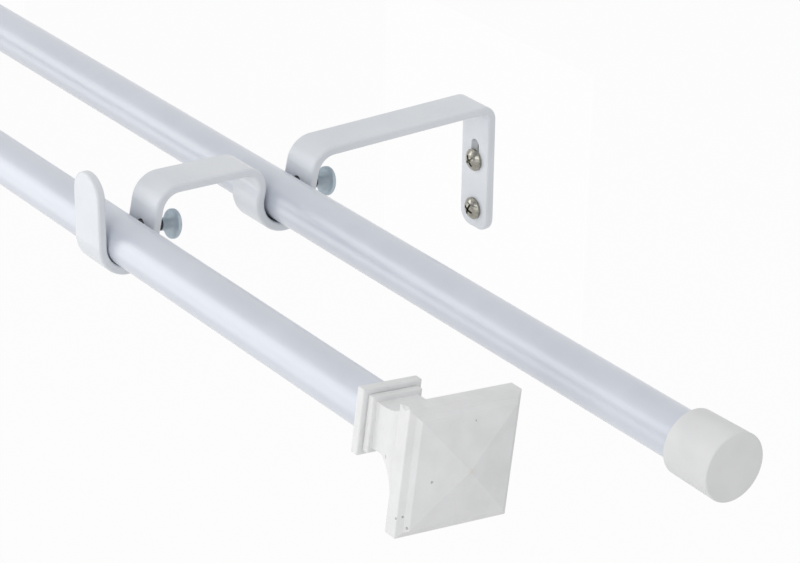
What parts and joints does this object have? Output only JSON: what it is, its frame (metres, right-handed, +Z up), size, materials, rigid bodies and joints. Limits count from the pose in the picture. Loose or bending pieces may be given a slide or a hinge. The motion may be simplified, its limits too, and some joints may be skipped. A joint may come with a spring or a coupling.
{
  "type": "double curtain rod",
  "caption": "Double curtain rod in white painted steel: telescoping rods in folded strap wall brackets, square cast finials on the front rod and plain round caps on the back rod.",
  "frame": {"origin": "centre of the rectangle of the four wall screws, on the wall", "axes": "+X along the rods towards the larger tubes, +Y into the wall, +Z up"},
  "size_m": [0.872, 0.2024, 0.0598],
  "materials": {
    "bracket_paint": "semi-gloss white powder coat",
    "tube_paint": "semi-gloss white paint",
    "cast_resin": "matte white cast resin with small pits",
    "cap_plastic": "matte off-white moulded plastic",
    "plug_plastic": "plain moulded plastic",
    "thumb_screw_zinc": "pale zinc plating",
    "screw_nickel": "bright nickel plating",
    "stud_steel": "plain turned steel"
  },
  "bodies": {
    "wall_set": {"bracket_right": "bracket_paint", "wall_screw_right_upper": "screw_nickel", "wall_screw_right_lower": "screw_nickel", "bracket_left": "bracket_paint", "wall_screw_left_upper": "screw_nickel", "wall_screw_left_lower": "screw_nickel", "back_outer_tube": "tube_paint", "front_outer_tube": "tube_paint", "end_cap_right": "cap_plastic", "finial_right": "cast_resin", "finial_stud_right": "stud_steel", "tube_plug_right": "plug_plastic"},
    "front_inner_rod": {"front_inner_tube": "tube_paint", "tube_plug_left": "plug_plastic", "finial_stud_left": "stud_steel", "finial_left": "cast_resin"},
    "back_inner_rod": {"back_inner_tube": "tube_paint", "end_cap_left": "cap_plastic"},
    "thumb_screw_right_back": {"thumb_screw_right_back": "thumb_screw_zinc"},
    "thumb_screw_right_front": {"thumb_screw_right_front": "thumb_screw_zinc"},
    "thumb_screw_left_back": {"thumb_screw_left_back": "thumb_screw_zinc"},
    "thumb_screw_left_front": {"thumb_screw_left_front": "thumb_screw_zinc"}
  },
  "joints": [
    {"name": "front_rod_slide", "type": "slide", "parent": "wall_set", "child": "front_inner_rod", "axis": [-1, 0, 0], "range_m": [-0.054, 0.434]},
    {"name": "back_rod_slide", "type": "slide", "parent": "wall_set", "child": "back_inner_rod", "axis": [-1, 0, 0], "range_m": [-0.202, 0.281]},
    {"name": "thumb_screw_right_back_travel", "type": "slide", "parent": "wall_set", "child": "thumb_screw_right_back", "axis": [0, 0.9781, -0.2079], "range_m": [0, 0.0028]},
    {"name": "thumb_screw_right_front_travel", "type": "slide", "parent": "wall_set", "child": "thumb_screw_right_front", "axis": [0, 0.9781, -0.2079], "range_m": [0, 0.0027]},
    {"name": "thumb_screw_left_back_travel", "type": "slide", "parent": "wall_set", "child": "thumb_screw_left_back", "axis": [0, 0.9781, -0.2079], "range_m": [0, 0.0028]},
    {"name": "thumb_screw_left_front_travel", "type": "slide", "parent": "wall_set", "child": "thumb_screw_left_front", "axis": [0, 0.9781, -0.2079], "range_m": [0, 0.0027]}
  ]
}
